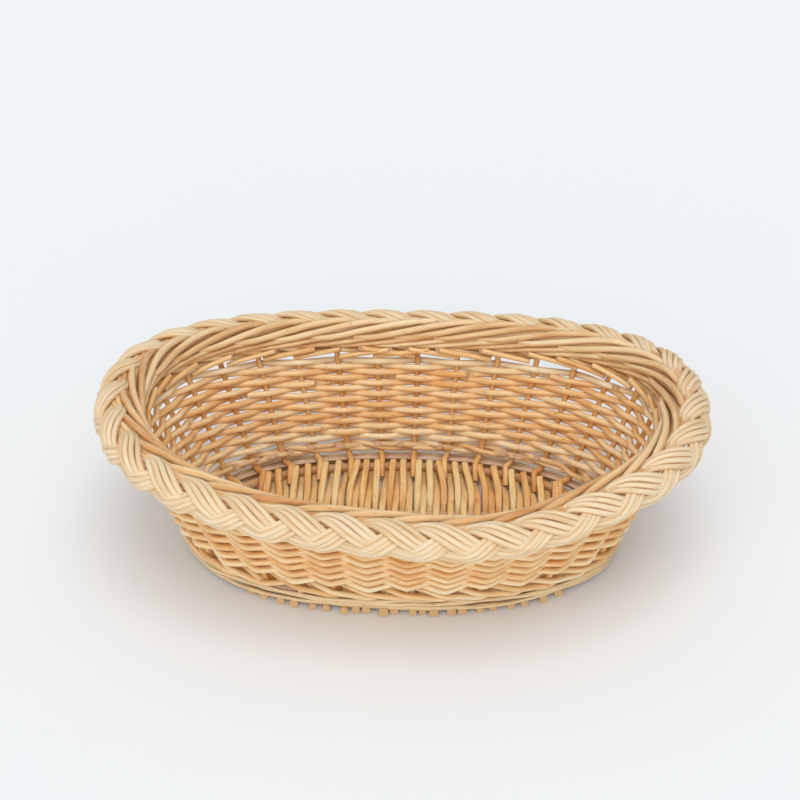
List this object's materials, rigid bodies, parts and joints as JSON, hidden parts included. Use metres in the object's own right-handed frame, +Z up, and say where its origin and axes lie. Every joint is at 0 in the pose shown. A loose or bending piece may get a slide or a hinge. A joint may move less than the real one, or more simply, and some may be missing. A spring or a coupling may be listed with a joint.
{
  "type": "oval willow basket",
  "caption": "Oval woven willow basket with a randed wall on upright stakes, a flat rod base laced to a hoop and a thick plaited border; open top, no handles.",
  "frame": {"origin": "on the surface that the basket stands on, under the middle of its oval", "axes": "+X along the basket, +Y across it towards the back, +Z up"},
  "size_m": [0.3835, 0.2697, 0.1126],
  "materials": {
    "siding_willow": "smooth peeled willow with a soft sheen",
    "border_willow": "pale smooth peeled willow with a soft sheen",
    "border_inner_willow": "smooth peeled willow",
    "wale_willow": "smooth peeled willow",
    "base_rod_willow": "golden peeled willow",
    "split_willow": "split willow, matt and slightly pink",
    "foot_willow": "thin pale peeled willow",
    "hoop_willow": "thick peeled willow",
    "stake_willow": "smooth peeled willow"
  },
  "bodies": {
    "root": {"base_hoop": "hoop_willow", "base_rods_over": "base_rod_willow", "base_rods_under": "base_rod_willow", "base_stick_back": "split_willow", "base_stick_front": "split_willow", "hoop_split_inner": "split_willow", "hoop_split_outer": "split_willow", "foot_rod_lower": "foot_willow", "foot_rod_upper": "foot_willow", "stakes": "stake_willow", "upsett_rod_1": "wale_willow", "upsett_rod_2": "wale_willow", "upsett_rod_3": "wale_willow", "siding_rod_01": "siding_willow", "siding_rod_02": "siding_willow", "siding_rod_03": "siding_willow", "siding_rod_04": "siding_willow", "siding_rod_05": "siding_willow", "siding_rod_06": "siding_willow", "siding_rod_07": "siding_willow", "siding_rod_08": "siding_willow", "siding_rod_09": "siding_willow", "siding_rod_10": "siding_willow", "siding_rod_11": "siding_willow", "siding_rod_12": "siding_willow", "siding_rod_13": "siding_willow", "siding_rod_14": "siding_willow", "siding_rod_15": "siding_willow", "siding_rod_16": "siding_willow", "top_wale_rod_1": "wale_willow", "top_wale_rod_2": "wale_willow", "top_wale_rod_3": "wale_willow", "border_tails": "border_inner_willow", "border_rope_rods": "border_inner_willow", "plait_strand_1": "border_willow", "plait_strand_2": "border_willow", "plait_strand_3": "border_willow"}
  },
  "joints": []
}
